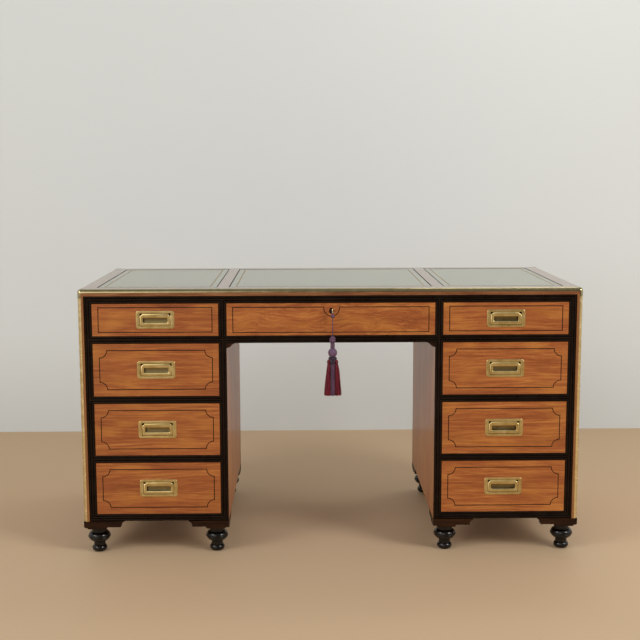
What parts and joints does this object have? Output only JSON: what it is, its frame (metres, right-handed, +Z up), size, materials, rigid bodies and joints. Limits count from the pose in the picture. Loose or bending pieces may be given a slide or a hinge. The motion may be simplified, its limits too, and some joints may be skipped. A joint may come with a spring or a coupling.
{
  "type": "pedestal desk",
  "caption": "Campaign-style pedestal desk with drawers in both pedestals and the frieze, flush brass handles, leather-lined top, reeded black framing and turned feet.",
  "frame": {"origin": "on the floor under the middle of the desk", "axes": "+X to the right seen from the front, +Y from the front to the back, +Z up"},
  "size_m": [1.42, 0.6743, 0.767],
  "materials": {
    "veneer": "polished satinwood-coloured veneer",
    "carcass_wood": "plain carcass wood",
    "drawer_wood": "waxed drawer lining",
    "ebonised": "ebonised polish",
    "brass": "lacquered brass, lightly toned",
    "lock_steel": "plain steel",
    "leather": "dark tooled leather",
    "silk": "crimson and purple silk"
  },
  "bodies": {
    "root": {"top_banding": "veneer", "outer_sides": "veneer", "inner_sides": "veneer", "rear_panels": "veneer", "top_board": "carcass_wood", "pedestal_bottoms": "carcass_wood", "dust_boards": "carcass_wood", "carcass_tops": "carcass_wood", "drawer_guides_and_stops": "carcass_wood", "front_frame": "ebonised", "rear_frame": "ebonised", "base_brackets": "ebonised", "kneehole_brackets": "ebonised", "turned_feet": "ebonised", "brass_top_edge": "brass", "brass_corner_caps": "brass", "brass_corner_strips": "brass", "leather_panels": "leather"},
    "left_drawer_1": {"left_drawer_1_front": "veneer", "left_drawer_1_box": "drawer_wood", "left_drawer_1_handle_plate": "brass"},
    "left_bail_1": {"left_drawer_1_bail": "brass"},
    "left_drawer_2": {"left_drawer_2_front": "veneer", "left_drawer_2_box": "drawer_wood", "left_drawer_2_handle_plate": "brass"},
    "left_bail_2": {"left_drawer_2_bail": "brass"},
    "left_drawer_3": {"left_drawer_3_front": "veneer", "left_drawer_3_box": "drawer_wood", "left_drawer_3_handle_plate": "brass"},
    "left_bail_3": {"left_drawer_3_bail": "brass"},
    "left_drawer_4": {"left_drawer_4_front": "veneer", "left_drawer_4_box": "drawer_wood", "left_drawer_4_handle_plate": "brass"},
    "left_bail_4": {"left_drawer_4_bail": "brass"},
    "right_drawer_1": {"right_drawer_1_front": "veneer", "right_drawer_1_box": "drawer_wood", "right_drawer_1_handle_plate": "brass"},
    "right_bail_1": {"right_drawer_1_bail": "brass"},
    "right_drawer_2": {"right_drawer_2_front": "veneer", "right_drawer_2_box": "drawer_wood", "right_drawer_2_handle_plate": "brass"},
    "right_bail_2": {"right_drawer_2_bail": "brass"},
    "right_drawer_3": {"right_drawer_3_front": "veneer", "right_drawer_3_box": "drawer_wood", "right_drawer_3_handle_plate": "brass"},
    "right_bail_3": {"right_drawer_3_bail": "brass"},
    "right_drawer_4": {"right_drawer_4_front": "veneer", "right_drawer_4_box": "drawer_wood", "right_drawer_4_handle_plate": "brass"},
    "right_bail_4": {"right_drawer_4_bail": "brass"},
    "centre_drawer": {"centre_drawer_front": "veneer", "centre_drawer_box": "drawer_wood", "lock_case": "lock_steel", "escutcheon": "brass"},
    "lock_bolt": {"lock_bolt": "lock_steel"},
    "key": {"key": "brass"},
    "tassel": {"tassel_loop": "silk", "tassel_cord": "silk", "tassel_head": "silk", "tassel_skirt": "silk"}
  },
  "joints": [
    {"name": "left_drawer_1_slide", "type": "slide", "parent": "root", "child": "left_drawer_1", "axis": [0, -1, 0], "range_m": [0, 0.42]},
    {"name": "left_bail_1_swing", "type": "hinge", "parent": "left_drawer_1", "child": "left_bail_1", "pos_m": [-0.494, -0.3175, 0.6939], "axis": [-1, 0, 0], "range_deg": [0, 90]},
    {"name": "left_drawer_2_slide", "type": "slide", "parent": "root", "child": "left_drawer_2", "axis": [0, -1, 0], "range_m": [0, 0.42]},
    {"name": "left_bail_2_swing", "type": "hinge", "parent": "left_drawer_2", "child": "left_bail_2", "pos_m": [-0.494, -0.3175, 0.55115], "axis": [-1, 0, 0], "range_deg": [0, 90]},
    {"name": "left_drawer_3_slide", "type": "slide", "parent": "root", "child": "left_drawer_3", "axis": [0, -1, 0], "range_m": [0, 0.42]},
    {"name": "left_bail_3_swing", "type": "hinge", "parent": "left_drawer_3", "child": "left_bail_3", "pos_m": [-0.494, -0.3175, 0.37915], "axis": [-1, 0, 0], "range_deg": [0, 90]},
    {"name": "left_drawer_4_slide", "type": "slide", "parent": "root", "child": "left_drawer_4", "axis": [0, -1, 0], "range_m": [0, 0.42]},
    {"name": "left_bail_4_swing", "type": "hinge", "parent": "left_drawer_4", "child": "left_bail_4", "pos_m": [-0.494, -0.3175, 0.20715], "axis": [-1, 0, 0], "range_deg": [0, 90]},
    {"name": "right_drawer_1_slide", "type": "slide", "parent": "root", "child": "right_drawer_1", "axis": [0, -1, 0], "range_m": [0, 0.42]},
    {"name": "right_bail_1_swing", "type": "hinge", "parent": "right_drawer_1", "child": "right_bail_1", "pos_m": [0.494, -0.3175, 0.6939], "axis": [-1, 0, 0], "range_deg": [0, 90]},
    {"name": "right_drawer_2_slide", "type": "slide", "parent": "root", "child": "right_drawer_2", "axis": [0, -1, 0], "range_m": [0, 0.42]},
    {"name": "right_bail_2_swing", "type": "hinge", "parent": "right_drawer_2", "child": "right_bail_2", "pos_m": [0.494, -0.3175, 0.55115], "axis": [-1, 0, 0], "range_deg": [0, 90]},
    {"name": "right_drawer_3_slide", "type": "slide", "parent": "root", "child": "right_drawer_3", "axis": [0, -1, 0], "range_m": [0, 0.42]},
    {"name": "right_bail_3_swing", "type": "hinge", "parent": "right_drawer_3", "child": "right_bail_3", "pos_m": [0.494, -0.3175, 0.37915], "axis": [-1, 0, 0], "range_deg": [0, 90]},
    {"name": "right_drawer_4_slide", "type": "slide", "parent": "root", "child": "right_drawer_4", "axis": [0, -1, 0], "range_m": [0, 0.42]},
    {"name": "right_bail_4_swing", "type": "hinge", "parent": "right_drawer_4", "child": "right_bail_4", "pos_m": [0.494, -0.3175, 0.20715], "axis": [-1, 0, 0], "range_deg": [0, 90]},
    {"name": "centre_drawer_slide", "type": "slide", "parent": "root", "child": "centre_drawer", "axis": [0, -1, 0], "range_m": [0, 0.42]},
    {"name": "key_turn", "type": "hinge", "parent": "centre_drawer", "child": "key", "pos_m": [0.004, -0.3365, 0.7045], "axis": [0, 1, 0], "range_deg": [0, 90]},
    {"name": "bolt_throw", "type": "slide", "parent": "centre_drawer", "child": "lock_bolt", "axis": [0, 0, 1], "range_m": [0, 0.008]},
    {"name": "tassel_swing", "type": "hinge", "parent": "key", "child": "tassel", "pos_m": [0.004, -0.3365, 0.698], "axis": [0, 1, 0], "range_deg": [-90, 15]}
  ],
  "couplings": [
    {"joint": "bolt_throw", "follows": "key_turn", "m_per_rad": 0.005093}
  ]
}
